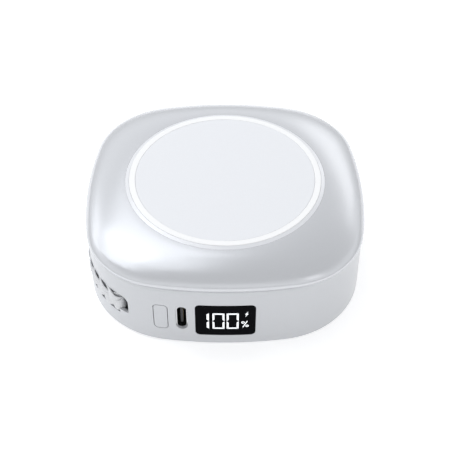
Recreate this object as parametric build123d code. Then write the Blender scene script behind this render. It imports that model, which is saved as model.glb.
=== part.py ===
from build123d import *
import math
import os

# Magnetic wireless power bank: a rounded-square housing with a round charging pad on top,
# a battery display, a USB-C socket and a power button in the front wall, and a braided carry
# strap held in two slots of the left wall.
# Frame: origin at the middle of the footprint on the table, +Z up, display side towards -Y.
# All sizes are in millimetres.

os.makedirs("parts", exist_ok=True)

# ---------------------------------------------------------------- driving dimensions
HEIGHT = 28.3  # table to the top of the charging ring
FOOT_GAP = 0.4  # the housing stands this far off the table on its feet

# Rounded-square outlines: half widths, radius of the four long sides, radius of the corners.
RIM = (40.5, 39.45, 112.0, 23.2)  # widest line of the top cap
WALL = (40.7, 39.6, 116.4, 26.6)  # foot of the side wall
WALL_DRAFT = 0.45  # the side wall leans in by this much up to its cove
WALL_T = 2.0
COVE_Z = 19.9  # the cove under the cap's lip starts here
COVE_DEPTH = 0.5
CREASE_Z = 21.8  # seam between side wall and top cap
RIM_Z = 23.0
SHOULDER_POWER = 1.15  # 1 makes the shoulder a plain quarter ellipse
CAP_T = 1.8
EDGE_ROUND = 0.4  # softened lower edge of the side wall

# Charging pad, sized to the 56 mm magnetic phone ring.
RING_R = 28.0
RING_W = 1.8
PAD_GAP = 0.05
PAD_DROP = 0.1  # the disc lies this far below the ring
PAD_T = 1.3
COIL_R = 21.6
COIL_TURNS = 11
COIL_PITCH = 1.05
BEZEL_R = 29.2  # outer edge of the sloped band round the ring
BEZEL_DROP = 0.5
CAP_LAND = 0.1  # flat edge of the cap round the bezel

# Front wall features: centre x, centre z, width, height, corner radius.
DISPLAY = (0.12, 10.3, 16.5, 12.2, 1.3)
BUTTON = (-17.75, 10.45, 3.75, 9.25, 1.1)
PORT = (-11.9, 10.7, 3.16, 8.94, 1.57)
DISPLAY_GAP = 0.1
BUTTON_GAP = 0.18
PORT_GAP = 0.06
WINDOW_BACK_Y = -37.2
FLANGE_BACK_Y = -34.3  # rear of the button's retaining flange
STEM_TIP_Y = -33.3
SWITCH_FRONT_Y = -32.4
PLUNGER_BACK_Y = -31.4
PLUNGER_R = 0.85
USB_MOUTH_Y = -38.25
USB_WALL = 0.3
USB_TONGUE = (0.7, 6.69)  # thickness and width

# Display segments.
STROKE = 0.55
DIGIT_H = 6.5
DIGIT_Z = 10.1
INLAY_T = 0.15

# Carry strap, a flat braid round the left wall between two pins.
STRAP_Z = 9.9
STRAP_H = 7.2
STRAP_T = 1.7
STRAP_OUTER = (40.7, 40.05, 150.0, 27.0)
STRAP_TURN_R = 1.5  # centre line of the bend into each slot
STRAP_GAP = 0.15
PIN_X = 30.3
PIN_Y = 26.0
PIN_R = 1.0
PIN_LOW_Z = 4.7
PIN_HIGH_Z = 15.2
SLOT_END_X = 26.95  # front and rear end of the slots, from the middle of the housing
SLOT = (5.0, 6.3, 2.1)  # length, height, upper corner radius
SLOT_LOW = (3.0, 0.6)  # height and corner radius of the squarer lower half
SLOT_Z = 10.75
SLOT_DEPTH = (30.5, 37.5)  # from and to, measured from the middle plane
SLOT_LIP = 0.7  # the wall is thinned to this round the slots
SLOT_POCKET = (-33.0, -26.5, 5.8, 13.8)  # x from, x to, z from, z to

# Inside.
BASE_T = 2.0
BOSS_R = 3.0
BOSS_TOP = 5.6
CELL = (58.0, 43.0, 8.4)
CELL_X = 1.0
CELL_Y = 0.0
CELL_GAP = 0.3
FRAME_T = 1.2
POST_R = 2.1
TAB_X = (-12.0, 4.0)
GUARD_Y = -24.6  # rear face of the protection board
BOARD_T = 1.0
FRONT_BOARD = (-23.0, 13.0, 3.2, 19.4)  # x from, x to, z from, z to
FRONT_BOARD_Y = -28.4  # rear face of the front board
FRONT_BOARD_T = 1.2
MAIN_BOARD = (-33.7, 35.7, -19.0, 20.0)  # x from, x to, y from, y to
MAIN_Z = 20.7
BOARD_SCREW_DEPTH = 4.5

# Feet and screws.
FOOT_R = 4.4
FOOT_SEAT = 0.6
FOOT_X = 28.9
FOOT_Y = 24.8
HEAD_R = 1.9
HEAD_H = 0.8
SCREW_R = 1.0
SCREW_TOP = 4.4

BEZEL_Z = HEIGHT - BEZEL_DROP
RECESS_Z = HEIGHT - PAD_DROP - PAD_T
CAP_CEILING_Z = RECESS_Z - 1.4
BASE_TOP = FOOT_GAP + BASE_T
LOWER_CELL_Z = BASE_TOP + 0.5
UPPER_CELL_Z = LOWER_CELL_Z + CELL[2] + CELL_GAP
MAIN_TOP = MAIN_Z + BOARD_T
FRONT_BOARD_FACE = FRONT_BOARD_Y - FRONT_BOARD_T
POST_X = CELL[0] / 2 + FRAME_T + POST_R  # from the middle of the cells
MAIN_HOLES = [(CELL_X + side * POST_X, y) for side in (-1, 1) for y in (-13.0, 15.0)]
LEFT = -1


# ---------------------------------------------------------------- outlines
def inset(outline, distance):
    """The same rounded square, moved inwards by distance."""
    return tuple(value - distance for value in outline)


def corner_centre(outline):
    """Centre of the corner arc of the first quadrant, which touches both side arcs."""
    half_x, half_y, side_r, corner_r = outline
    side_x = half_x - side_r
    side_y = half_y - side_r
    slope = side_x / side_y
    offset = (side_y**2 - side_x**2) / (2 * side_y)
    square = 1 + slope**2
    linear = 2 * (slope * offset - side_x)
    rest = side_x**2 + offset**2 - (side_r - corner_r) ** 2
    x = (-linear + math.sqrt(linear**2 - 4 * square * rest)) / (2 * square)
    return x, slope * x + offset


def tangent_points(outline):
    """Where the corner arc of the first quadrant meets its two side arcs."""
    half_x, half_y, side_r, corner_r = outline
    x, y = corner_centre(outline)
    stretch = side_r / (side_r - corner_r)
    side_x = half_x - side_r
    side_y = half_y - side_r
    first = (side_x + (x - side_x) * stretch, y * stretch)
    second = (x * stretch, side_y + (y - side_y) * stretch)
    return first, second


def polar_radius(outline, angle):
    """Distance from the middle to the rounded square in one direction."""
    half_x, half_y, side_r, corner_r = outline
    c = abs(math.cos(angle))
    s = abs(math.sin(angle))
    (x1, y1), (x2, y2) = tangent_points(outline)
    if s * x1 <= c * y1:
        side_x = half_x - side_r
        return side_x * c + math.sqrt(side_r**2 - (side_x * s) ** 2)
    if s * x2 >= c * y2:
        side_y = half_y - side_r
        return side_y * s + math.sqrt(side_r**2 - (side_y * c) ** 2)
    x, y = corner_centre(outline)
    along = x * c + y * s
    return along + math.sqrt(along**2 - x**2 - y**2 + corner_r**2)


def outline_wire(outline, z):
    """Closed wire of four side arcs and four corner arcs."""
    half_x, half_y, side_r, corner_r = outline
    cx, cy = corner_centre(outline)
    (x1, y1), (x2, y2) = tangent_points(outline)
    turn = (math.atan2(y1 - cy, x1 - cx) + math.atan2(y2 - cy, x2 - cx)) / 2
    mid = (cx + corner_r * math.cos(turn), cy + corner_r * math.sin(turn))
    edges = [
        ThreePointArc((x1, -y1, z), (half_x, 0, z), (x1, y1, z)),
        ThreePointArc((x1, y1, z), (*mid, z), (x2, y2, z)),
        ThreePointArc((x2, y2, z), (0, half_y, z), (-x2, y2, z)),
        ThreePointArc((-x2, y2, z), (-mid[0], mid[1], z), (-x1, y1, z)),
        ThreePointArc((-x1, y1, z), (-half_x, 0, z), (-x1, -y1, z)),
        ThreePointArc((-x1, -y1, z), (-mid[0], -mid[1], z), (-x2, -y2, z)),
        ThreePointArc((-x2, -y2, z), (0, -half_y, z), (x2, -y2, z)),
        ThreePointArc((x2, -y2, z), (mid[0], -mid[1], z), (x1, -y1, z)),
    ]
    return Wire(edges)


def prism(outline, z_low, z_high):
    """Straight-sided solid with a rounded-square outline."""
    return extrude(Face(outline_wire(outline, z_low)), z_high - z_low, dir=(0, 0, 1))


def smooth_wire(radius_at, z, points=48):
    """Closed spline round the Z axis through radius_at(angle)."""
    angles = [2 * math.pi * i / points for i in range(points)]
    ring = [(radius_at(a) * math.cos(a), radius_at(a) * math.sin(a), z) for a in angles]
    return Wire([Edge.make_spline(ring, periodic=True)])


def disc(radius, z_low, z_high, x=0.0, y=0.0):
    """Upright cylinder between two heights."""
    height = z_high - z_low
    return Pos(x, y, z_low + height / 2) * Cylinder(radius, height)


def block(x_low, x_high, y_low, y_high, z_low, z_high):
    """Box between two corners."""
    size = (x_high - x_low, y_high - y_low, z_high - z_low)
    centre = ((x_low + x_high) / 2, (y_low + y_high) / 2, (z_low + z_high) / 2)
    return Pos(*centre) * Box(*size)


def front_prism(x, z, width, height, corner, y_out, y_in):
    """Rounded bar along Y, from y_out in front to y_in behind."""
    face = Plane.XZ.offset(-y_in) * Pos(x, z) * RectangleRounded(width, height, corner)
    return extrude(face, y_in - y_out)


# ---------------------------------------------------------------- side wall and cap bodies
def wall_outline_at(z):
    """Outer outline of the side wall, with its draft."""
    return inset(WALL, WALL_DRAFT * z / COVE_Z)


def wall_body(depth):
    """Outer solid of the side wall, moved inwards by depth on every side."""
    low = [
        outline_wire(inset(wall_outline_at(FOOT_GAP), depth + EDGE_ROUND), FOOT_GAP),
        outline_wire(inset(wall_outline_at(FOOT_GAP), depth), FOOT_GAP + EDGE_ROUND),
        outline_wire(inset(wall_outline_at(COVE_Z), depth), COVE_Z),
    ]
    steps = 4
    cove = []
    for step in range(steps + 1):
        turn = math.radians(90 * step / steps)
        into = COVE_DEPTH * (1 - math.cos(turn))
        z = COVE_Z + (CREASE_Z - COVE_Z) * math.sin(turn)
        cove.append(outline_wire(inset(wall_outline_at(COVE_Z), depth + into), z))
    return Solid.make_loft(low, ruled=True) + Solid.make_loft(cove)


def cap_body(depth, ceiling, top_r):
    """Solid under the cap's lip and shoulder, moved inwards by depth."""
    crease = inset(wall_outline_at(COVE_Z), depth + COVE_DEPTH)
    rim = inset(RIM, depth)
    wires = []
    for degrees in (0, 30, 60):
        share = math.sin(math.radians(degrees))
        z = RIM_Z - (RIM_Z - CREASE_Z) * math.cos(math.radians(degrees))

        def under_lip(angle, share=share):
            inner = polar_radius(crease, angle)
            return inner + (polar_radius(rim, angle) - inner) * share

        wires.append(smooth_wire(under_lip, z))
    for degrees in range(0, 91, 10):
        across = max(math.cos(math.radians(degrees)), 0.0) ** SHOULDER_POWER
        up = math.sin(math.radians(degrees)) ** SHOULDER_POWER

        def shoulder(angle, across=across):
            return top_r + (polar_radius(rim, angle) - top_r) * across

        wires.append(smooth_wire(shoulder, RIM_Z + (ceiling - RIM_Z) * up))
    return Solid.make_loft(wires)


# ---------------------------------------------------------------- strap
def strap_path():
    """Half of the strap's centre line, in the first quadrant: side, corner, bend, pin."""
    centre_line = inset(STRAP_OUTER, STRAP_T / 2)
    half_x, half_y, side_r, corner_r = centre_line
    cx, cy = corner_centre(centre_line)
    (x1, y1), _ = tangent_points(centre_line)
    wrap_r = PIN_R + 0.05 + STRAP_T / 2
    bend_x = PIN_X - wrap_r + STRAP_TURN_R
    bend_y = cy + math.sqrt((corner_r - STRAP_TURN_R) ** 2 - (bend_x - cx) ** 2)
    leave = math.atan2(bend_y - cy, bend_x - cx)
    start = math.atan2(y1 - cy, x1 - cx)
    half = (start + leave) / 2
    bend = (leave + math.pi) / 2
    tangent = (cx + corner_r * math.cos(leave), cy + corner_r * math.sin(leave))
    inner = (PIN_X - wrap_r, bend_y)
    side = ThreePointArc(
        (half_x, 0),
        (half_x - side_r + side_r * math.cos(y1 / 2 / side_r), side_r * math.sin(y1 / 2 / side_r)),
        (x1, y1),
    )
    corner = ThreePointArc(
        (x1, y1), (cx + corner_r * math.cos(half), cy + corner_r * math.sin(half)), tangent
    )
    into_slot = ThreePointArc(
        tangent,
        (bend_x + STRAP_TURN_R * math.cos(bend), bend_y + STRAP_TURN_R * math.sin(bend)),
        inner,
    )
    to_pin = Line(inner, (PIN_X - wrap_r, PIN_Y))
    return Wire([side, corner, into_slot, to_pin])


def strap_body(extra):
    """The whole strap, thicker and taller by extra on every side."""
    half_line = strap_path()
    thick = STRAP_T + 2 * extra
    start = Plane(origin=half_line @ 0, x_dir=(1, 0, 0), z_dir=half_line % 0)
    section = start * Rectangle(thick, STRAP_H + 2 * extra)
    half = sweep(section, path=half_line)
    half += Pos(PIN_X, PIN_Y) * Cylinder(PIN_R + 0.05 + thick - extra, STRAP_H + 2 * extra)
    half = Pos(0, 0, STRAP_Z) * mirror(half, Plane.YZ)
    return half + mirror(half, Plane.XZ)


# ---------------------------------------------------------------- housing
def corner_positions(x_from_middle, y_from_middle):
    """The four places of a repeated corner feature."""
    return [(x, y) for x in (-x_from_middle, x_from_middle) for y in (-y_from_middle, y_from_middle)]


def slot_pocket(y_low, y_high):
    """Pocket behind a slot, which thins the wall to a lip and gives the strap room to turn."""
    x_low, x_high, z_low, z_high = SLOT_POCKET
    pocket = block(x_low, x_high, y_low, y_high, z_low, z_high)
    return pocket & prism(inset(wall_outline_at(COVE_Z), SLOT_LIP), 0, HEIGHT)


def make_side_wall():
    """Side wall with its openings, screw bosses and strap pin sockets."""
    outer = wall_body(0)
    wall = outer - prism(inset(wall_outline_at(COVE_Z), WALL_T), 0, HEIGHT)
    wall -= prism(inset(wall_outline_at(0), WALL_T / 2), 0, BASE_TOP)
    towards_wall = 1.4
    for x, y in corner_positions(PIN_X, PIN_Y):
        heights = [(BASE_TOP, BOSS_TOP)]
        if x < 0:
            heights.append((STRAP_Z + STRAP_H / 2 + 0.4, PIN_HIGH_Z + 0.8))
        for low, high in heights:
            for outward in (0.0, towards_wall):
                boss_x = x + math.copysign(outward, x)
                boss_y = y + math.copysign(outward, y)
                wall += disc(BOSS_R, low, high, boss_x, boss_y) & outer
        wall -= disc(SCREW_R + 0.02, FOOT_GAP, SCREW_TOP + 0.1, x, y)
        if x < 0:
            wall -= disc(PIN_R + 0.02, PIN_LOW_Z, PIN_HIGH_Z, x, y)
    wall -= strap_body(STRAP_GAP)
    slot_w, slot_h, slot_corner = SLOT
    low_h, low_corner = SLOT_LOW
    low_z = SLOT_Z - (slot_h - low_h) / 2
    near, far = SLOT_DEPTH
    for low, high in ((-far, -near), (near, far)):
        slot_x = LEFT * (SLOT_END_X + slot_w / 2)
        wall -= front_prism(slot_x, SLOT_Z, slot_w, slot_h, slot_corner, low, high)
        wall -= front_prism(slot_x, low_z, slot_w, low_h, low_corner, low, high)
        wall -= slot_pocket(low, high)
    for feature, gap in ((DISPLAY, DISPLAY_GAP), (BUTTON, BUTTON_GAP), (PORT, PORT_GAP)):
        x, z, width, height, corner = feature
        size = (width + 2 * gap, height + 2 * gap, corner + gap * 0.99)
        wall -= front_prism(x, z, *size, -45, -34)
    return wall


def make_cap():
    """Top cap: lip, shoulder, pad recess and the tongue inside the side wall."""
    cap = cap_body(0, BEZEL_Z, BEZEL_R) - cap_body(CAP_T, CAP_CEILING_Z, BEZEL_R - 0.8)
    cap -= disc(BEZEL_R - CAP_LAND, RECESS_Z, HEIGHT)
    tongue = inset(wall_outline_at(COVE_Z), WALL_T + 0.1)
    return cap + (prism(tongue, COVE_Z, CREASE_Z + 0.6) - prism(inset(tongue, 1.2), 0, HEIGHT))


def make_base():
    """Base cover, let into the side wall, with recesses for the feet and screw heads."""
    base = prism(inset(wall_outline_at(0), WALL_T / 2 + 0.08), FOOT_GAP, BASE_TOP)
    seat_z = FOOT_GAP + FOOT_SEAT
    for x, y in corner_positions(FOOT_X, FOOT_Y):
        base -= disc(FOOT_R + 0.05, 0, seat_z, x, y)
    for x, y in corner_positions(PIN_X, PIN_Y):
        base -= disc(HEAD_R + 0.1, 0, seat_z + HEAD_H + 0.02, x, y)
        base -= disc(SCREW_R + 0.15, 0, HEIGHT, x, y)
    return base


def make_screw(x, y):
    """Self-tapping base screw with a cross recess, seen once a foot is peeled off."""
    seat_z = FOOT_GAP + FOOT_SEAT
    screw = disc(HEAD_R, seat_z + 0.02, seat_z + HEAD_H, x, y)
    screw += disc(SCREW_R, seat_z + HEAD_H, SCREW_TOP, x, y)
    for angle in (0, 90):
        screw -= Pos(x, y, seat_z) * Rot(Z=angle) * Box(2.0, 0.45, 0.9)
    return screw


def make_foot(x, y):
    """Round rubber foot with a softened lower edge."""
    foot = disc(FOOT_R, 0, FOOT_GAP + FOOT_SEAT, x, y)
    return fillet(foot.edges().sort_by(Axis.Z)[0], 0.25)


# ---------------------------------------------------------------- charging pad
def make_ring():
    """White charging ring with softened top edges."""
    ring = disc(RING_R, RECESS_Z, HEIGHT) - disc(RING_R - RING_W, 0, HEIGHT + 1)
    return fillet(ring.edges().group_by(Axis.Z)[-1], 0.12)


def make_bezel():
    """Sloped trim ring between the charging ring and the cap."""
    inner = RING_R + PAD_GAP
    outer = BEZEL_R - CAP_LAND - 0.02
    points = [(inner, RECESS_Z), (outer, RECESS_Z), (outer, BEZEL_Z), (inner, HEIGHT - 0.15)]
    return revolve(Plane.XZ * make_face(Polyline(points, close=True)), Axis.Z)


def make_carrier():
    """Plastic disc under the pad with pockets for the magnets, coil and ferrite."""
    carrier = disc(27.6, CAP_CEILING_Z - 1.6, CAP_CEILING_Z - 0.05)
    magnets = disc(26.9, CAP_CEILING_Z - 1.25, HEIGHT) - disc(22.8, 0, HEIGHT)
    carrier -= magnets
    carrier -= disc(21.9, CAP_CEILING_Z - 1.35, HEIGHT)
    carrier -= disc(3.0, 0, HEIGHT)
    carrier -= block(-2.3, 2.3, -28, -21, CAP_CEILING_Z - 1.3, HEIGHT)
    return carrier


def make_magnets():
    """Ring of arc magnets with small gaps. The gap for the coil leads cuts the front one in two."""
    count = 18
    z_low = CAP_CEILING_Z - 1.25
    z_high = CAP_CEILING_Z - 0.15
    ring = disc(26.8, z_low, z_high) - disc(22.9, 0, HEIGHT)
    for index in range(count):
        ring -= Rot(Z=360 / count * index) * Pos(25, 0, 25) * Box(8, 0.3, 10)
    lead_gap = 6.0
    ring -= Pos(0, -25, 25) * Box(lead_gap, 8, 10)
    return ring


def make_coil():
    """Flat copper coil: concentric turns on a thin backing."""
    z_low = CAP_CEILING_Z - 0.75
    z_high = CAP_CEILING_Z - 0.15
    coil = disc(COIL_R, z_low, z_low + 0.15) - disc(10.0, 0, HEIGHT)
    for turn in range(COIL_TURNS):
        outer = COIL_R - 0.1 - turn * COIL_PITCH
        coil += disc(outer, z_low, z_high) - disc(outer - COIL_PITCH * 0.8, 0, HEIGHT)
    return coil


def make_coil_leads():
    """Two insulated leads from the coil's edge down to the main board."""
    leads = []
    for x in (-1.5, 1.5):
        path = FilletPolyline(
            (x, -21.65, CAP_CEILING_Z - 0.7),
            (x, -29.0, CAP_CEILING_Z - 1.0),
            (x, -29.0, MAIN_TOP + 0.4),
            (x, -18.0, MAIN_TOP + 0.4),
            radius=0.8,
        )
        section = Plane(origin=path @ 0, z_dir=path % 0) * Circle(0.35)
        leads.append(sweep(section, path=path))
    return Compound(leads)


# ---------------------------------------------------------------- display
def bar(x_low, x_high, z_low, z_high, long_side):
    """One display segment: a bar whose short side is cut back at 45 degrees at both ends."""
    corners = {
        "left": [(x_low, z_low), (x_low, z_high), (x_high, z_high - STROKE), (x_high, z_low + STROKE)],
        "right": [(x_high, z_low), (x_high, z_high), (x_low, z_high - STROKE), (x_low, z_low + STROKE)],
        "top": [(x_low, z_high), (x_high, z_high), (x_high - STROKE, z_low), (x_low + STROKE, z_low)],
        "bottom": [(x_low, z_low), (x_high, z_low), (x_high - STROKE, z_high), (x_low + STROKE, z_high)],
    }
    return make_face(Polyline(corners[long_side], close=True))


def side_segments(x_low, x_high, long_side):
    """Upper and lower upright segment of a digit."""
    gap = 0.14
    low = DIGIT_Z - DIGIT_H / 2
    high = DIGIT_Z + DIGIT_H / 2
    upper = bar(x_low, x_high, DIGIT_Z + gap / 2, high, long_side)
    lower = bar(x_low, x_high, low, DIGIT_Z - gap / 2, long_side)
    return [upper, lower]


def zero(x_low, x_high):
    """The digit 0 in six segments."""
    gap = 0.12
    low = DIGIT_Z - DIGIT_H / 2
    high = DIGIT_Z + DIGIT_H / 2
    faces = side_segments(x_low, x_low + STROKE, "left")
    faces += side_segments(x_high - STROKE, x_high, "right")
    faces.append(bar(x_low + gap, x_high - gap, high - STROKE, high, "top"))
    faces.append(bar(x_low + gap, x_high - gap, low, low + STROKE, "bottom"))
    return faces


def percent_and_bolt():
    """Small percent sign and charging bolt to the right of the digits."""
    bolt = [(6.35, 14.0), (5.45, 12.7), (5.85, 12.7), (5.55, 11.7), (6.5, 13.05), (6.08, 13.05)]
    slash = [(4.75, 7.4), (5.1, 7.4), (6.3, 10.0), (5.95, 10.0)]
    faces = [make_face(Polyline(points, close=True)) for points in (bolt, slash)]
    for x, z in ((4.95, 9.45), (6.1, 7.95)):
        ring = Circle(0.48) - Circle(0.2)
        faces.append(Pos(x, z) * ring)
    return faces


def display_faces():
    """All lit segments, in the plane of the front wall."""
    faces = side_segments(-5.05, -4.4, "right")
    faces += zero(-3.44, -0.14)
    faces += zero(0.46, 3.76)
    return faces + percent_and_bolt()


def make_digits(outer):
    """Lit segments, inlaid flush with the window's curved face."""
    behind = Pos(0, INLAY_T, 0) * outer
    digits = []
    for face in display_faces():
        segment = extrude(Plane.XZ.offset(36) * face, 6)
        digits += ((segment & outer) - behind).solids()
    return Compound(digits)


def make_window(outer, digits):
    """Dark display window that follows the curve of the wall."""
    x, z, width, height, corner = DISPLAY
    window = front_prism(x, z, width, height, corner, -45, WINDOW_BACK_Y) & outer
    return window - digits


def make_display_module():
    """Display body on the front board, behind the window."""
    x, z, width, height, _ = DISPLAY
    half_w = width / 2 - 0.4
    half_h = height / 2 - 0.5
    return block(x - half_w, x + half_w, WINDOW_BACK_Y + 0.1, FRONT_BOARD_FACE, z - half_h, z + half_h)


# ---------------------------------------------------------------- button and switch
def make_button(outer):
    """Button cap that follows the wall, with its retaining flange and stem."""
    x, z, width, height, corner = BUTTON
    button = front_prism(x, z, width, height, corner, -45, FLANGE_BACK_Y) & outer
    flange = front_prism(x, z, width + 1.6, height + 1.6, corner + 0.6, -40, FLANGE_BACK_Y)
    button += flange & prism(inset(wall_outline_at(COVE_Z), WALL_T + 0.05), 0, CREASE_Z)
    stem_y = (FLANGE_BACK_Y + STEM_TIP_Y) / 2
    button += Pos(x, stem_y, z) * Rot(X=90) * Cylinder(1.1, STEM_TIP_Y - FLANGE_BACK_Y)
    return button


def make_switch():
    """Tactile switch body with the hole its plunger runs in."""
    x, z, _, _, _ = BUTTON
    half = 2.4
    body = block(x - half, x + half, SWITCH_FRONT_Y, FRONT_BOARD_FACE, z - half, z + half)
    body -= Pos(x, SWITCH_FRONT_Y, z) * Rot(X=90) * Cylinder(PLUNGER_R + 0.1, 3.0)
    return body


def make_switch_plunger():
    """Round plunger between the button's stem and the switch's snap dome."""
    x, z, _, _, _ = BUTTON
    middle = (STEM_TIP_Y + PLUNGER_BACK_Y) / 2
    return Pos(x, middle, z) * Rot(X=90) * Cylinder(PLUNGER_R, PLUNGER_BACK_Y - STEM_TIP_Y)


# ---------------------------------------------------------------- USB-C socket
def make_usb_shell():
    """Pressed metal shell of the upright socket."""
    x, z, width, height, corner = PORT
    shell = front_prism(x, z, width, height, corner, USB_MOUTH_Y, FRONT_BOARD_FACE)
    cavity = (width - 2 * USB_WALL, height - 2 * USB_WALL, corner - USB_WALL)
    return shell - front_prism(x, z, *cavity, -45, 0)


def make_usb_insert():
    """Moulded insert at the back of the shell with the centre tongue."""
    x, z, width, height, corner = PORT
    fit = USB_WALL + 0.02
    cavity = (width - 2 * fit, height - 2 * fit, corner - fit)
    insert = front_prism(x, z, *cavity, FRONT_BOARD_FACE - 1.6, FRONT_BOARD_FACE)
    return insert + front_prism(x, z, *USB_TONGUE, 0.3, USB_MOUTH_Y + 0.9, FRONT_BOARD_FACE)


def make_usb_contacts():
    """Twelve gold contacts on each face of the tongue."""
    x, z, _, _, _ = PORT
    pitch = 0.5
    half_width = 0.13
    tongue_face = USB_TONGUE[0] / 2
    y_front = USB_MOUTH_Y + 1.6
    y_back = FRONT_BOARD_FACE - 1.7
    contacts = []
    for side in (-1, 1):
        low, high = sorted((x + side * tongue_face, x + side * (tongue_face + 0.05)))
        for index in range(12):
            centre = z + (index - 5.5) * pitch
            contacts.append(block(low, high, y_front, y_back, centre - half_width, centre + half_width))
    return Compound(contacts)


# ---------------------------------------------------------------- boards
def make_front_board():
    """Upright board that carries display, socket and switch."""
    x_low, x_high, z_low, z_high = FRONT_BOARD
    return block(x_low, x_high, FRONT_BOARD_FACE, FRONT_BOARD_Y, z_low, z_high)


def make_main_board():
    """Main board over the cells."""
    board = block(*MAIN_BOARD, MAIN_Z, MAIN_TOP)
    board = fillet(board.edges().filter_by(Axis.Z), 4.0)
    for x, y in MAIN_HOLES:
        board -= disc(0.9, 0, HEIGHT, x, y)
    return board


def make_chips():
    """Charge controller, transmitter, two power stages, clock crystal and fuel gauge."""
    chip_t = 0.9
    sizes = {
        (-12, 5): (6, 6),
        (6, 8): (5, 5),
        (16, -8): (4, 4),
        (18, 12): (4, 4),
        (-2, -10): (3.2, 2.5),
        (-18, -6): (4, 4),
    }
    chips = []
    for (x, y), (length, width) in sizes.items():
        chip = Pos(x, y, MAIN_TOP + chip_t / 2) * Box(length, width, chip_t)
        chips.append(chamfer(chip.edges().group_by(Axis.Z)[-1], 0.15))
    return Compound(chips)


def make_inductors():
    """Two low moulded power inductors."""
    side = 6.0
    height = 1.9
    inductors = []
    for x, y in ((10.5, -1.5), (-5.0, 15.0)):
        core = Pos(x, y, MAIN_TOP + height / 2) * Box(side, side, height)
        inductors.append(chamfer(core.edges().filter_by(Axis.Z), 0.8))
    return Compound(inductors)


def make_capacitors():
    """Rows of ceramic capacitors beside the chips."""
    length, width, height = 2.0, 1.2, 1.1
    middle_z = MAIN_TOP + height / 2
    capacitors = []
    for x, y, count in ((-20.0, 2.6, 5), (-20.0, 12.6, 4), (14.0, 3.6, 4)):
        for index in range(count):
            capacitors.append(Pos(x, y + 1.9 * index, middle_z) * Box(length, width, height))
    for x, y, count in ((2.6, -15.0, 6), (21.1, -14.0, 3)):
        for index in range(count):
            capacitors.append(Pos(x + 2.2 * index, y, middle_z) * Box(width, length, height))
    return Compound(capacitors)


def make_board_screws():
    """Small screws that hold the main board on the cell frame."""
    head_top = MAIN_TOP + 0.8
    screws = []
    for x, y in MAIN_HOLES:
        screw = disc(1.5, MAIN_TOP, head_top, x, y)
        screw += disc(0.8, MAIN_TOP - BOARD_SCREW_DEPTH, MAIN_TOP, x, y)
        screw -= Pos(x, y, head_top) * Box(2.0, 0.4, 0.6)
        screws.append(screw)
    return Compound(screws)


def make_flex_cable():
    """Flat cable from the front board up to the main board's edge."""
    x_low = 3.0
    x_high = 11.0
    thick = 0.2
    top = MAIN_TOP + thick
    cable = block(x_low, x_high, FRONT_BOARD_Y, FRONT_BOARD_Y + thick, 17.6, top)
    return cable + block(x_low, x_high, FRONT_BOARD_Y, MAIN_BOARD[2] + 2, MAIN_TOP, top)


# ---------------------------------------------------------------- battery
def cell_box(z_low, z_high, grow=0.0):
    """Block with the cells' footprint, larger by grow on every side."""
    length, width, _ = CELL
    return block(
        CELL_X - length / 2 - grow,
        CELL_X + length / 2 + grow,
        CELL_Y - width / 2 - grow,
        CELL_Y + width / 2 + grow,
        z_low,
        z_high,
    )


def make_cell(z_low):
    """Soft-edged lithium pouch cell."""
    cell = cell_box(z_low, z_low + CELL[2], -0.25)
    return fillet(cell.edges(), 1.2)


def make_cell_tabs():
    """Nickel tabs that join the two cells to the protection board."""
    tabs = []
    for x in TAB_X:
        for z in (LOWER_CELL_Z, UPPER_CELL_Z):
            middle = z + CELL[2] / 2
            cell_y = CELL_Y - CELL[1] / 2 + 0.25
            tabs.append(block(x - 3, x + 3, GUARD_Y, cell_y, middle - 0.1, middle + 0.1))
    return Compound(tabs)


def make_cell_frame():
    """Open frame round the cells with board posts and rails for the front board."""
    top = MAIN_Z - 0.02
    frame = cell_box(BASE_TOP + 0.05, top, FRAME_T) - cell_box(0, HEIGHT, 0)
    for x in TAB_X:
        frame -= block(x - 4, x + 4, -26, -21, LOWER_CELL_Z, UPPER_CELL_Z + CELL[2])
    for x, y in MAIN_HOLES:
        frame += disc(POST_R, BASE_TOP + 0.05, top, x, y)
        web_x = x + math.copysign(POST_R + 0.2, CELL_X - x)
        low, high = sorted((x, web_x))
        frame += block(low, high, y - 0.8, y + 0.8, BASE_TOP + 0.05, top)
        frame -= disc(0.82, MAIN_TOP - BOARD_SCREW_DEPTH, HEIGHT, x, y)
    for x in (-20.5, 12.0):
        frame += block(x - 0.8, x + 0.8, FRONT_BOARD_Y, CELL_Y - CELL[1] / 2, 3.5, 17.5)
    return frame


def make_protection_board():
    """Narrow cell protection board in front of the cells."""
    return block(-17.0, 9.0, GUARD_Y - 0.9, GUARD_Y, 6.0, 17.0)


def make_thermistor():
    """Temperature sensor bead beside the upper cell's tab."""
    return Pos(TAB_X[1], -23.3, 18.0) * Sphere(0.65)


def make_foam_pads():
    """Two thin foam pads between the base cover and the lower cell."""
    pads = [block(x - 6, x + 6, -12, 14, BASE_TOP, LOWER_CELL_Z - 0.02) for x in (-15.0, 17.0)]
    return Compound(pads)


# ---------------------------------------------------------------- strap nodes
def strap_pin_rods(radius, z_low, z_high):
    """Upright rods at the two strap pins."""
    return Compound([disc(radius, z_low, z_high, LEFT * PIN_X, y) for y in (-PIN_Y, PIN_Y)])


def make_carry_strap():
    """The strap, with a hole through each end loop for its pin."""
    return strap_body(0) - strap_pin_rods(PIN_R + 0.05, 0, HEIGHT)


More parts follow.
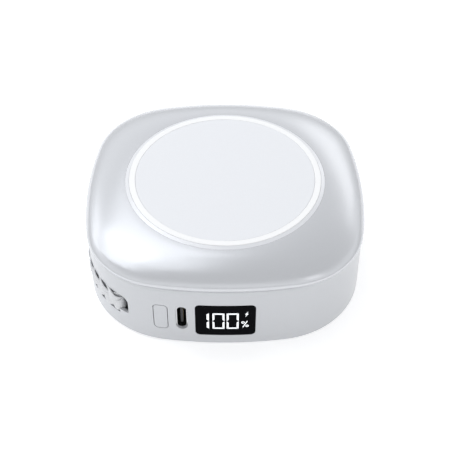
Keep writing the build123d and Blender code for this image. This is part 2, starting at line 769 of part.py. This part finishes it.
# ---------------------------------------------------------------- write the nodes
def build():
    """Every node of the power bank, by name."""
    outer = wall_body(0)
    digits = make_digits(outer)
    cell_top = UPPER_CELL_Z + CELL[2]
    screws = [make_screw(x, y) for x, y in corner_positions(PIN_X, PIN_Y)]
    feet = [make_foot(x, y) for x, y in corner_positions(FOOT_X, FOOT_Y)]
    return {
        "cap_shell": make_cap(),
        "side_wall": make_side_wall(),
        "base_cover": make_base(),
        "base_screws": Compound(screws),
        "rubber_feet": Compound(feet),
        "pad_disc": disc(RING_R - RING_W - PAD_GAP, RECESS_Z, HEIGHT - PAD_DROP),
        "pad_ring": make_ring(),
        "pad_bezel": make_bezel(),
        "coil_carrier": make_carrier(),
        "magnet_ring": make_magnets(),
        "charging_coil": make_coil(),
        "ferrite_sheet": disc(COIL_R + 0.1, CAP_CEILING_Z - 1.3, CAP_CEILING_Z - 0.8),
        "coil_leads": make_coil_leads(),
        "display_window": make_window(outer, digits),
        "display_digits": digits,
        "display_module": make_display_module(),
        "power_button": make_button(outer),
        "switch_body": make_switch(),
        "switch_plunger": make_switch_plunger(),
        "usb_shell": make_usb_shell(),
        "usb_insert": make_usb_insert(),
        "usb_contacts": make_usb_contacts(),
        "front_board": make_front_board(),
        "main_board": make_main_board(),
        "main_board_chips": make_chips(),
        "power_inductors": make_inductors(),
        "capacitors": make_capacitors(),
        "board_screws": make_board_screws(),
        "flex_cable": make_flex_cable(),
        "battery_cell_lower": make_cell(LOWER_CELL_Z),
        "battery_cell_upper": make_cell(UPPER_CELL_Z),
        "cell_tabs": make_cell_tabs(),
        "cell_frame": make_cell_frame(),
        "protection_board": make_protection_board(),
        "thermistor": make_thermistor(),
        "cell_adhesive": cell_box(LOWER_CELL_Z + CELL[2] + 0.02, UPPER_CELL_Z - 0.02, -6),
        "foam_pads": make_foam_pads(),
        "insulation_sheet": cell_box(cell_top + 0.02, cell_top + 0.2, -0.5),
        "carry_strap": make_carry_strap(),
        "strap_pins": strap_pin_rods(PIN_R, PIN_LOW_Z + 0.02, PIN_HIGH_Z - 0.05),
    }


for node, shape in build().items():
    export_step(shape, f"parts/{node}.step")
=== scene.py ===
import math

import bpy
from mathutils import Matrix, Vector


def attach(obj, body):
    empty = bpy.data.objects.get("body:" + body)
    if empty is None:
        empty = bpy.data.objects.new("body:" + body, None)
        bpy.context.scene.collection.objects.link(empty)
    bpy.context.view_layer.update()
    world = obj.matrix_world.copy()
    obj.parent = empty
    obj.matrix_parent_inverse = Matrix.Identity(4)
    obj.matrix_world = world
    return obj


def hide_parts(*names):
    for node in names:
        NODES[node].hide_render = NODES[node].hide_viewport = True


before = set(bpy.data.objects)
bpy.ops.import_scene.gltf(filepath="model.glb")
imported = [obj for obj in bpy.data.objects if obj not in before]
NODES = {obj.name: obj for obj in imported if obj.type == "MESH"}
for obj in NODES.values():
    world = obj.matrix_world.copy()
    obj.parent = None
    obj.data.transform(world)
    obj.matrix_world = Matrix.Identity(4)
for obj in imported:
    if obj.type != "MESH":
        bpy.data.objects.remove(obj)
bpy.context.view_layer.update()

MM = 0.001


# ---------------------------------------------------------------- camera
LOOK_AT = Vector((0, 0, 0.015))
CAMERA_DISTANCE = 0.27306
CAMERA_ELEVATION = math.radians(44.281)
LENS_MM = 72.33
FRAMING_SHIFT = -0.037  # the optical axis passes a little above the middle of the picture


def make_camera():
    back = Vector((0, -math.cos(CAMERA_ELEVATION), math.sin(CAMERA_ELEVATION)))
    data = bpy.data.cameras.new("camera")
    data.sensor_width = 36
    data.lens = LENS_MM
    data.shift_y = FRAMING_SHIFT
    data.clip_start = 0.01
    camera = bpy.data.objects.new("camera", data)
    camera.location = LOOK_AT + back * CAMERA_DISTANCE
    camera.rotation_euler = (-back).to_track_quat("-Z", "Y").to_euler()
    bpy.context.scene.collection.objects.link(camera)
    bpy.context.scene.camera = camera


# ---------------------------------------------------------------- studio
# A pale tent, brightest about 27 degrees up: height of the view direction (its sine), brightness.
SKY_COLOUR = (0.975, 0.985, 1.0)
SKY_STRENGTH = 1.13
SKY_STEPS = ((0.0, 0.32), (0.14, 0.5), (0.3, 0.95), (0.45, 1.0), (0.62, 0.62), (0.8, 0.5), (1.0, 0.46))
FLOOR_SIZE = 6.0
FLOOR_GLOW = 0.38  # the floor is a light table
LIGHT_DISTANCE = 0.9
COOL_WHITE = (0.94, 0.965, 1.0)


def softbox(name, azimuth, elevation, size, radiance, colour=(1, 1, 1)):
    """A rectangular light aimed at the object. Azimuth 0 is in front, 90 is on the right."""
    turn = math.radians(azimuth)
    lift = math.radians(elevation)
    towards = Vector((math.sin(turn) * math.cos(lift), -math.cos(turn) * math.cos(lift), math.sin(lift)))
    light = bpy.data.lights.new(name, "AREA")
    light.shape = "RECTANGLE"
    light.size, light.size_y = size
    light.color = colour
    light.energy = radiance * size[0] * size[1] * math.pi
    box = bpy.data.objects.new(name, light)
    box.location = LOOK_AT + towards * LIGHT_DISTANCE
    box.rotation_euler = towards.to_track_quat("Z", "Y").to_euler()
    box.visible_camera = False
    bpy.context.scene.collection.objects.link(box)


def make_sky():
    world = bpy.data.worlds.new("studio")
    world.use_nodes = True
    bpy.context.scene.world = world
    tree = world.node_tree
    sky = tree.nodes["Background"]
    sky.inputs["Strength"].default_value = SKY_STRENGTH
    place = tree.nodes.new("ShaderNodeTexCoord")
    split = tree.nodes.new("ShaderNodeSeparateXYZ")
    ramp = tree.nodes.new("ShaderNodeValToRGB")
    steps = ramp.color_ramp.elements
    while len(steps) < len(SKY_STEPS):
        steps.new(0.5)
    for step, (height, value) in zip(steps, SKY_STEPS):
        step.position = height
        step.color = (*(value * c for c in SKY_COLOUR), 1)
    tree.links.new(place.outputs["Generated"], split.inputs["Vector"])
    tree.links.new(split.outputs["Z"], ramp.inputs["Fac"])
    tree.links.new(ramp.outputs["Color"], sky.inputs["Color"])


def make_studio():
    bpy.context.scene.view_settings.view_transform = "Standard"
    make_sky()
    softbox("key_left", -112, 55, (0.44, 0.40), 1.9, COOL_WHITE)
    softbox("key_back_left", -148, 58, (0.46, 0.40), 1.9, COOL_WHITE)
    softbox("high_left", -112, 77, (0.34, 0.22), 1.3, COOL_WHITE)
    softbox("low_left", -118, 31, (0.44, 0.22), 1.5, COOL_WHITE)
    softbox("strip_behind_right", 150, 28, (0.50, 0.24), 1.1)
    softbox("fill_front_right", 44, 38, (0.22, 0.18), 1.5)
    bpy.ops.mesh.primitive_plane_add(size=FLOOR_SIZE)
    floor = bpy.context.object
    floor.name = "floor"
    material = surface("floor_paper", (0.93, 0.93, 0.93), 0.8, 900, 0.02, 0.02)
    glow(material, (1, 1, 1), FLOOR_GLOW)
    floor.data.materials.append(material)


# ---------------------------------------------------------------- materials
RELIEF_STRENGTH = 0.5
BLEND_FROM = 0.3  # part of a texture's range over which the low colour turns into the high one
BLEND_TO = 0.7


def new_material(name, colour, roughness, metallic=0.0, specular=0.5):
    """A Principled material whose uniform values sit on the shader's own sockets."""
    material = bpy.data.materials.new(name)
    material.use_nodes = True
    shader = material.node_tree.nodes["Principled BSDF"]
    shader.inputs["Base Color"].default_value = (*colour, 1)
    shader.inputs["Roughness"].default_value = roughness
    shader.inputs["Metallic"].default_value = metallic
    shader.inputs["Specular IOR Level"].default_value = specular
    return material


def pattern(material, texture, output, depth_mm, low, high, stretch=(1, 1, 1)):
    """Drives relief and colour of a material with one texture laid on in object coordinates."""
    tree = material.node_tree
    shader = tree.nodes["Principled BSDF"]
    place = tree.nodes.new("ShaderNodeTexCoord")
    mapping = tree.nodes.new("ShaderNodeMapping")
    mapping.inputs["Scale"].default_value = stretch
    tree.links.new(place.outputs["Object"], mapping.inputs["Vector"])
    tree.links.new(mapping.outputs["Vector"], texture.inputs["Vector"])
    bump = tree.nodes.new("ShaderNodeBump")
    bump.inputs["Strength"].default_value = RELIEF_STRENGTH
    bump.inputs["Distance"].default_value = depth_mm * MM
    tree.links.new(texture.outputs[output], bump.inputs["Height"])
    tree.links.new(bump.outputs["Normal"], shader.inputs["Normal"])
    ramp = tree.nodes.new("ShaderNodeValToRGB")
    first, last = ramp.color_ramp.elements
    first.position = BLEND_FROM
    last.position = BLEND_TO
    first.color = (*low, 1)
    last.color = (*high, 1)
    tree.links.new(texture.outputs[output], ramp.inputs["Fac"])
    tree.links.new(ramp.outputs["Color"], shader.inputs["Base Color"])
    return material


def surface(name, colour, roughness, scale, depth_mm, mottle, metallic=0.0, specular=0.5, stretch=(1, 1, 1)):
    """Fine grain as relief, with a slight mottling of the colour."""
    material = new_material(name, colour, roughness, metallic, specular)
    noise = material.node_tree.nodes.new("ShaderNodeTexNoise")
    noise.inputs["Scale"].default_value = scale
    noise.inputs["Detail"].default_value = 4
    low = tuple(c * (1 - mottle) for c in colour)
    high = tuple(min(c * (1 + mottle), 1) for c in colour)
    return pattern(material, noise, "Fac", depth_mm, low, high, stretch)


def cracked(name, low, high, roughness, scale, depth_mm):
    """Cells with fine edges between them, for ferrite and foam. The edges take the low colour."""
    material = new_material(name, high, roughness)
    cells = material.node_tree.nodes.new("ShaderNodeTexVoronoi")
    cells.feature = "DISTANCE_TO_EDGE"
    cells.inputs["Scale"].default_value = scale
    return pattern(material, cells, "Distance", depth_mm, low, high)


def traces(name, low, high):
    """Circuit board: solder mask, high over the copper fields and low along the lines between them."""
    material = new_material(name, high, 0.35)
    runs = material.node_tree.nodes.new("ShaderNodeTexBrick")
    runs.inputs["Scale"].default_value = 260
    runs.inputs["Mortar Size"].default_value = 0.03
    return pattern(material, runs, "Fac", 0.02, high, low)


def wound(name, low, high, roughness):
    """Coil copper: rings round the middle of the object."""
    material = new_material(name, high, roughness, 1.0)
    rings = material.node_tree.nodes.new("ShaderNodeTexWave")
    rings.wave_type = "RINGS"
    rings.rings_direction = "Z"
    rings.inputs["Scale"].default_value = 900
    return pattern(material, rings, "Fac", 0.02, low, high)


def glow(material, colour, strength):
    shader = material.node_tree.nodes["Principled BSDF"]
    shader.inputs["Emission Color"].default_value = (*colour, 1)
    shader.inputs["Emission Strength"].default_value = strength


def dress(material, *nodes):
    """Gives the named CAD nodes this one material."""
    for node in nodes:
        NODES[node].data.materials.clear()
        NODES[node].data.materials.append(material)


# surface() takes a colour, roughness, grain scale, grain depth in mm and mottling, in this order.
def make_outer_materials():
    dress(surface("pearl_cap", (0.65, 0.66, 0.685), 0.27, 2500, 0.002, 0.01, metallic=0.42), "cap_shell")
    wall = surface("pearl_wall", (0.56, 0.57, 0.59), 0.28, 2500, 0.002, 0.01, metallic=0.3)
    dress(wall, "side_wall", "power_button")
    dress(surface("pad_skin", (0.84, 0.85, 0.875), 0.5, 3000, 0.003, 0.01), "pad_disc")
    dress(surface("ring_gloss", (0.98, 0.98, 0.98), 0.2, 1500, 0.001, 0.005), "pad_ring")
    dress(surface("bezel_satin", (0.82, 0.83, 0.855), 0.3, 1500, 0.001, 0.005, metallic=0.1), "pad_bezel")
    window = surface("window_gloss", (0.002, 0.002, 0.003), 0.1, 300, 0.001, 0.1, specular=0.02)
    dress(window, "display_window")
    lit = (0.95, 0.97, 1.0)
    digits = surface("display_glow", lit, 0.4, 1200, 0.001, 0.02)
    glow(digits, lit, 0.3)
    dress(digits, "display_digits")
    dress(surface("base_moulding", (0.60, 0.61, 0.63), 0.45, 1200, 0.02, 0.03), "base_cover")
    dress(surface("foot_rubber", (0.36, 0.37, 0.39), 0.85, 1800, 0.03, 0.06), "rubber_feet")


def make_inner_materials():
    steel = surface("turned_steel", (0.62, 0.62, 0.63), 0.28, 900, 0.004, 0.06, 1.0, stretch=(1, 1, 6))
    dress(steel, "strap_pins", "base_screws")
    drawn = surface("drawn_steel", (0.66, 0.66, 0.67), 0.22, 700, 0.003, 0.05, 1.0, stretch=(1, 5, 1))
    dress(drawn, "usb_shell")
    dress(surface("black_screw", (0.07, 0.07, 0.075), 0.35, 900, 0.004, 0.1, 1.0), "board_screws")
    dress(surface("gold_plate", (0.87, 0.66, 0.30), 0.2, 1500, 0.002, 0.05, 1.0), "usb_contacts")
    dress(
        surface("moulded_black", (0.025, 0.025, 0.026), 0.5, 1500, 0.01, 0.12),
        "usb_insert", "switch_body", "display_module", "main_board_chips",
    )
    dress(surface("plunger_nylon", (0.72, 0.68, 0.60), 0.45, 1400, 0.008, 0.04), "switch_plunger")
    dress(surface("carrier_moulding", (0.55, 0.56, 0.58), 0.5, 1000, 0.015, 0.04), "coil_carrier")
    dress(surface("frame_moulding", (0.42, 0.43, 0.45), 0.55, 900, 0.02, 0.05), "cell_frame")
    nickel = surface("nickel_plate", (0.70, 0.69, 0.66), 0.25, 1200, 0.003, 0.05, 1.0)
    dress(nickel, "magnet_ring", "cell_tabs")
    dress(wound("wound_copper", (0.46, 0.20, 0.10), (0.80, 0.42, 0.24), 0.3), "charging_coil")
    dress(cracked("ferrite", (0.015, 0.015, 0.015), (0.07, 0.07, 0.075), 0.6, 500, 0.03), "ferrite_sheet")
    core = cracked("inductor_core", (0.05, 0.05, 0.05), (0.13, 0.13, 0.135), 0.7, 2600, 0.02)
    dress(core, "power_inductors")
    dress(surface("lead_sleeve", (0.62, 0.06, 0.05), 0.45, 1600, 0.005, 0.06), "coil_leads")
    board = traces("solder_mask", (0.01, 0.10, 0.05), (0.03, 0.24, 0.13))
    dress(board, "front_board", "main_board", "protection_board")
    dress(surface("capacitor_ceramic", (0.55, 0.40, 0.26), 0.4, 1800, 0.005, 0.08), "capacitors")
    dress(surface("polyimide", (0.62, 0.30, 0.06), 0.3, 700, 0.004, 0.08, stretch=(8, 1, 1)), "flex_cable")
    foil = surface("cell_foil", (0.72, 0.73, 0.74), 0.34, 160, 0.08, 0.05, 0.9)
    dress(foil, "battery_cell_lower", "battery_cell_upper")
    dress(surface("thermistor_epoxy", (0.04, 0.04, 0.05), 0.3, 2000, 0.01, 0.15), "thermistor")
    dress(surface("adhesive_film", (0.82, 0.82, 0.78), 0.6, 600, 0.01, 0.04), "cell_adhesive")
    dress(cracked("foam_cells", (0.05, 0.05, 0.05), (0.14, 0.14, 0.14), 0.95, 2200, 0.15), "foam_pads")
    paper = surface("fish_paper", (0.30, 0.33, 0.34), 0.75, 500, 0.02, 0.08, stretch=(4, 1, 1))
    dress(paper, "insulation_sheet")


# ---------------------------------------------------------------- braided strap
# The path of the strap's middle line in plan, in millimetres: the long arc of the left side, the
# corner arc, the bend into the slot, the run to the pin and the loop round it.
STRAP_OUTER = (40.7, 40.05, 150.0, 27.0)  # half widths, side radius, corner radius
STRAP_T = 1.7
STRAP_H = 7.2
STRAP_Z = 9.9
BEND_R = 1.5
PIN = (30.3, 26.0)
PIN_R = 1.0
PIN_GAP = 0.05
LOOP_R = PIN_R + PIN_GAP + STRAP_T / 2
LOOP_TURN = math.radians(275)

# The plait: each strand swings up and down once, and out and in twice, in one plait length.
STRAND_W = 4.2
STRAND_T = 0.68
STRAND_COUNT = 3
SWING_UP = (STRAP_H - STRAND_W) / 2
SWING_OUT = (STRAP_T - STRAND_T) / 2
PLAIT_LENGTH = 13.7  # one strand crosses from edge to edge and back in this length
LOBE_AT = -31.6  # one lobe of the upper edge lies this far along from the middle of the left side
STATIONS_PER_MM = 4
SECTION_POINTS = 56
SECTION_WIDTH_POWER = 0.9  # powers below 1 make the section squarer than an ellipse
SECTION_HEIGHT_POWER = 0.45
YARNS = 5
YARN_RELIEF = 0.3  # depth of the grooves between yarns, as a part of the strand's half thickness


def corner_arc(half_x, half_y, side_r, corner_r):
    """Centre of the corner arc that touches both side arcs, and the angle where it leaves the first."""
    side_x = half_x - side_r
    side_y = half_y - side_r
    slope = side_x / side_y
    offset = (side_y**2 - side_x**2) / (2 * side_y)
    square = 1 + slope**2
    linear = 2 * (slope * offset - side_x)
    rest = side_x**2 + offset**2 - (side_r - corner_r) ** 2
    x = (-linear + math.sqrt(linear**2 - 4 * square * rest)) / (2 * square)
    y = slope * x + offset
    return (x, y), math.atan2(y, x - side_x)


def strap_pieces():
    """Arcs (centre, radius, start angle, length) of half the path, in the first quadrant."""
    half_x, half_y, side_r, corner_r = (value - STRAP_T / 2 for value in STRAP_OUTER)
    (cx, cy), first = corner_arc(half_x, half_y, side_r, corner_r)
    bend_x = PIN[0] - LOOP_R + BEND_R
    bend_y = cy + math.sqrt((corner_r - BEND_R) ** 2 - (bend_x - cx) ** 2)
    leave = math.atan2(bend_y - cy, bend_x - cx)
    return [
        ((half_x - side_r, 0.0), side_r, 0.0, side_r * first),
        ((cx, cy), corner_r, first, corner_r * (leave - first)),
        ((bend_x, bend_y), BEND_R, leave, BEND_R * (math.pi - leave)),
        ((bend_x - BEND_R, bend_y), 0.0, math.pi, bend_y - PIN[1]),
        (PIN, LOOP_R, math.pi, LOOP_R * LOOP_TURN),
    ]


def strap_frame(pieces, along):
    """Position and outward direction on the strap's middle line, measured from the left side's middle."""
    left = abs(along)
    side = -1.0 if along < 0 else 1.0
    for centre, radius, start, length in pieces:
        if left <= length or centre == PIN:
            break
        left -= length
    if radius:
        angle = start + left / radius
        x = centre[0] + radius * math.cos(angle)
        y = centre[1] + radius * math.sin(angle)
    else:
        angle = start
        x, y = centre[0], centre[1] - left
    return Vector((-x, side * y, STRAP_Z)), Vector((-math.cos(angle), side * math.sin(angle), 0))


def signed_power(value, power):
    return math.copysign(abs(value) ** power, value)


def strand_section():
    """Outline of one strand: a flat bundle with a scalloped face for each yarn."""
    points = []
    for index in range(SECTION_POINTS):
        angle = 2 * math.pi * index / SECTION_POINTS
        across = signed_power(math.cos(angle), SECTION_WIDTH_POWER)
        proud = signed_power(math.sin(angle), SECTION_HEIGHT_POWER)
        yarn = abs(math.sin(math.pi * YARNS * (across + 1) / 2))
        points.append((across * STRAND_W / 2, proud * STRAND_T / 2 * (1 - YARN_RELIEF * (1 - yarn))))
    return points


def add_strand(pieces, strand, verts, faces):
    """Sweeps the section along one strand's winding path, and closes both ends."""
    half = sum(length for centre, radius, start, length in pieces)
    count = int(2 * half * STATIONS_PER_MM)
    centres = []
    outs = []
    for station in range(count + 1):
        along = -half + 2 * half * station / count
        turns = (along - LOBE_AT) / PLAIT_LENGTH + strand / STRAND_COUNT
        phase = 2 * math.pi * turns + math.pi / 2  # the first strand is at its top at LOBE_AT
        place, out = strap_frame(pieces, along)
        up = Vector((0, 0, SWING_UP * math.sin(phase)))
        centres.append(place + out * SWING_OUT * math.sin(2 * phase) + up)
        outs.append(out)
    section = strand_section()
    base = len(verts)
    for station, (centre, out) in enumerate(zip(centres, outs)):
        ahead = centres[min(station + 1, count)] - centres[max(station - 1, 0)]
        across = out.cross(ahead).normalized()
        proud = ahead.cross(across).normalized()
        for u, v in section:
            verts.append((centre + across * u + proud * v) * MM)
    for station in range(count):
        for index in range(SECTION_POINTS):
            after = (index + 1) % SECTION_POINTS
            row = base + station * SECTION_POINTS
            ahead_row = row + SECTION_POINTS
            faces.append((row + index, row + after, ahead_row + after, ahead_row + index))
    last = base + count * SECTION_POINTS
    faces.append(tuple(base + index for index in reversed(range(SECTION_POINTS))))
    faces.append(tuple(last + index for index in range(SECTION_POINTS)))


def make_braid():
    pieces = strap_pieces()
    verts = []
    faces = []
    for strand in range(STRAND_COUNT):
        add_strand(pieces, strand, verts, faces)
    mesh = bpy.data.meshes.new("strap_plait")
    mesh.from_pydata(verts, [], faces)
    mesh.shade_smooth()
    braid = bpy.data.objects.new("strap_plait", mesh)
    bpy.context.scene.collection.objects.link(braid)
    fabric = surface("strap_yarn", (0.66, 0.665, 0.68), 0.8, 4200, 0.05, 0.1)
    fabric.node_tree.nodes["Principled BSDF"].inputs["Sheen Weight"].default_value = 0.2
    mesh.materials.append(fabric)
    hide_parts("carry_strap")
    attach(braid, "housing")


make_camera()
make_outer_materials()
make_inner_materials()
make_braid()
make_studio()
